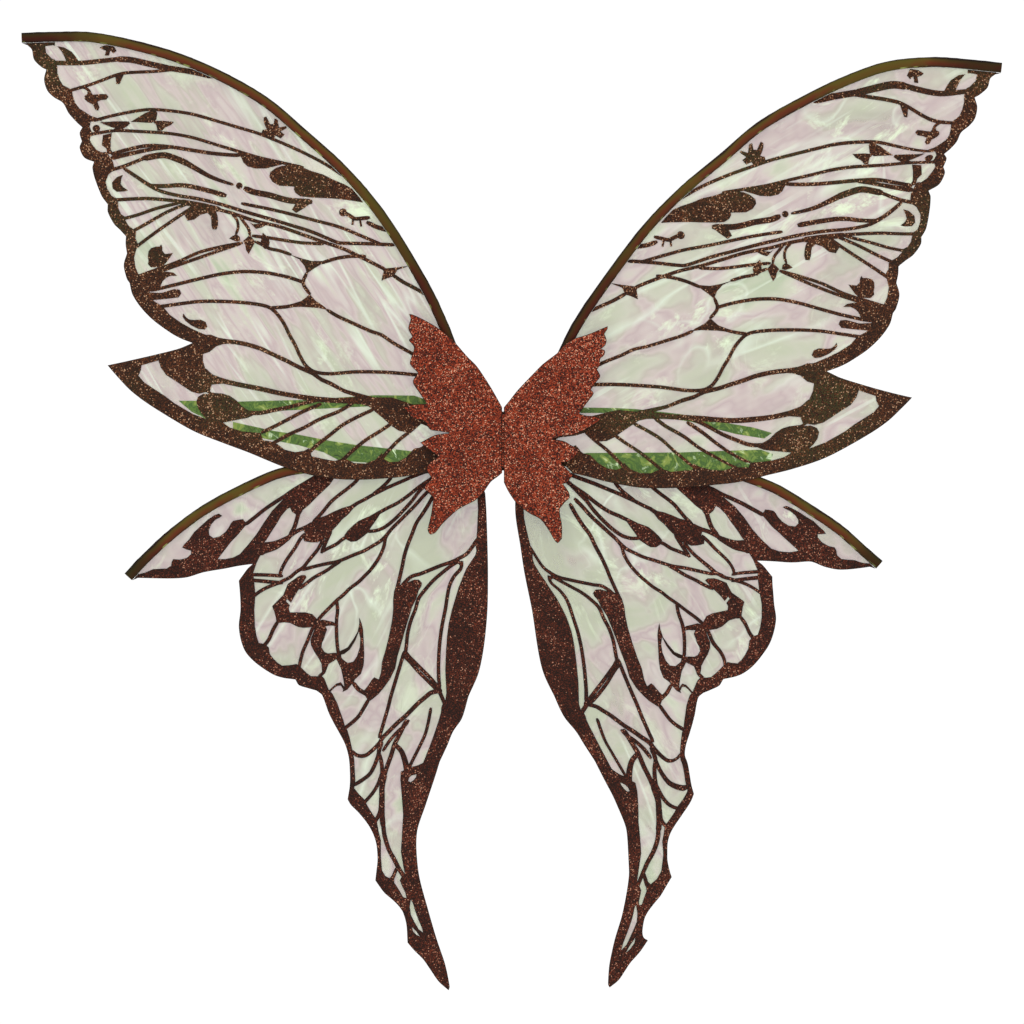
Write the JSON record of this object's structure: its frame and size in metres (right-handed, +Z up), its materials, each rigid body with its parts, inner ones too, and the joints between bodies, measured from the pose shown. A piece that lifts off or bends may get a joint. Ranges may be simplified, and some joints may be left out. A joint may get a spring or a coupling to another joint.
{
  "type": "fairy wings",
  "caption": "Costume fairy wings: film wings with glitter veins on wire spars, pinned to folding root plates behind a scalloped cover, with a padded back plate and arm loops",
  "frame": {"origin": "centre of the back pad's face, level with the middle of the crease between the two halves", "axes": "+Z up, +X to the right seen from the decorated side, +Y towards the wearer; the wings lie in the XZ plane at rest"},
  "size_m": [0.8822, 0.1485, 0.8632],
  "materials": {
    "film": "iridescent translucent film",
    "veins": "dark brown glitter sheet",
    "cover": "copper glitter foam sheet",
    "sleeve": "satin olive-brown casing",
    "wire": "drawn wire",
    "pin": "satin",
    "plate": "matt",
    "pad": "brushed felt over foam",
    "strap": "woven elastic"
  },
  "bodies": {
    "harness": {"spine_plate": "plate", "back_pad": "pad", "hinge_strip": "strap", "strap_left": "strap", "strap_right": "strap", "strap_patch_top_left": "plate", "strap_patch_foot_left": "plate", "strap_patch_top_right": "plate", "strap_patch_foot_right": "plate"},
    "left_root": {"root_plate_left": "plate", "root_block_left": "plate", "cover_left": "cover", "upper_pin_left": "pin", "upper_spacer_left": "plate", "lower_pin_left": "pin", "lower_spacer_left": "plate"},
    "upper_left": {"upper_film_left": "film", "upper_veins_left": "veins", "upper_sleeve_left": "sleeve", "upper_spar_left": "wire"},
    "lower_left": {"lower_film_left": "film", "lower_veins_left": "veins", "lower_sleeve_left": "sleeve", "lower_spar_left": "wire"},
    "right_root": {"root_plate_right": "plate", "root_block_right": "plate", "cover_right": "cover", "upper_pin_right": "pin", "upper_spacer_right": "plate", "lower_pin_right": "pin", "lower_spacer_right": "plate"},
    "upper_right": {"upper_film_right": "film", "upper_veins_right": "veins", "upper_sleeve_right": "sleeve", "upper_spar_right": "wire"},
    "lower_right": {"lower_film_right": "film", "lower_veins_right": "veins", "lower_sleeve_right": "sleeve", "lower_spar_right": "wire"}
  },
  "joints": [
    {"name": "left_fold", "type": "hinge", "parent": "harness", "child": "left_root", "pos_m": [0, -0.031, 0], "axis": [0, 0, 1], "range_deg": [0, 80]},
    {"name": "upper_left_swivel", "type": "hinge", "parent": "left_root", "child": "upper_left", "pos_m": [-0.028, -0.0256, 0.04], "axis": [0, 1, 0], "range_deg": [-12, 15]},
    {"name": "lower_left_swivel", "type": "hinge", "parent": "left_root", "child": "lower_left", "pos_m": [-0.028, -0.0193, -0.006], "axis": [0, 1, 0], "range_deg": [-3, 18]},
    {"name": "right_fold", "type": "hinge", "parent": "harness", "child": "right_root", "pos_m": [0, -0.031, 0], "axis": [0, 0, -1], "range_deg": [0, 80]},
    {"name": "upper_right_swivel", "type": "hinge", "parent": "right_root", "child": "upper_right", "pos_m": [0.031, -0.0256, 0.034], "axis": [0, -1, 0], "range_deg": [-12, 15]},
    {"name": "lower_right_swivel", "type": "hinge", "parent": "right_root", "child": "lower_right", "pos_m": [0.027, -0.0193, -0.009], "axis": [0, -1, 0], "range_deg": [-7, 14]}
  ]
}
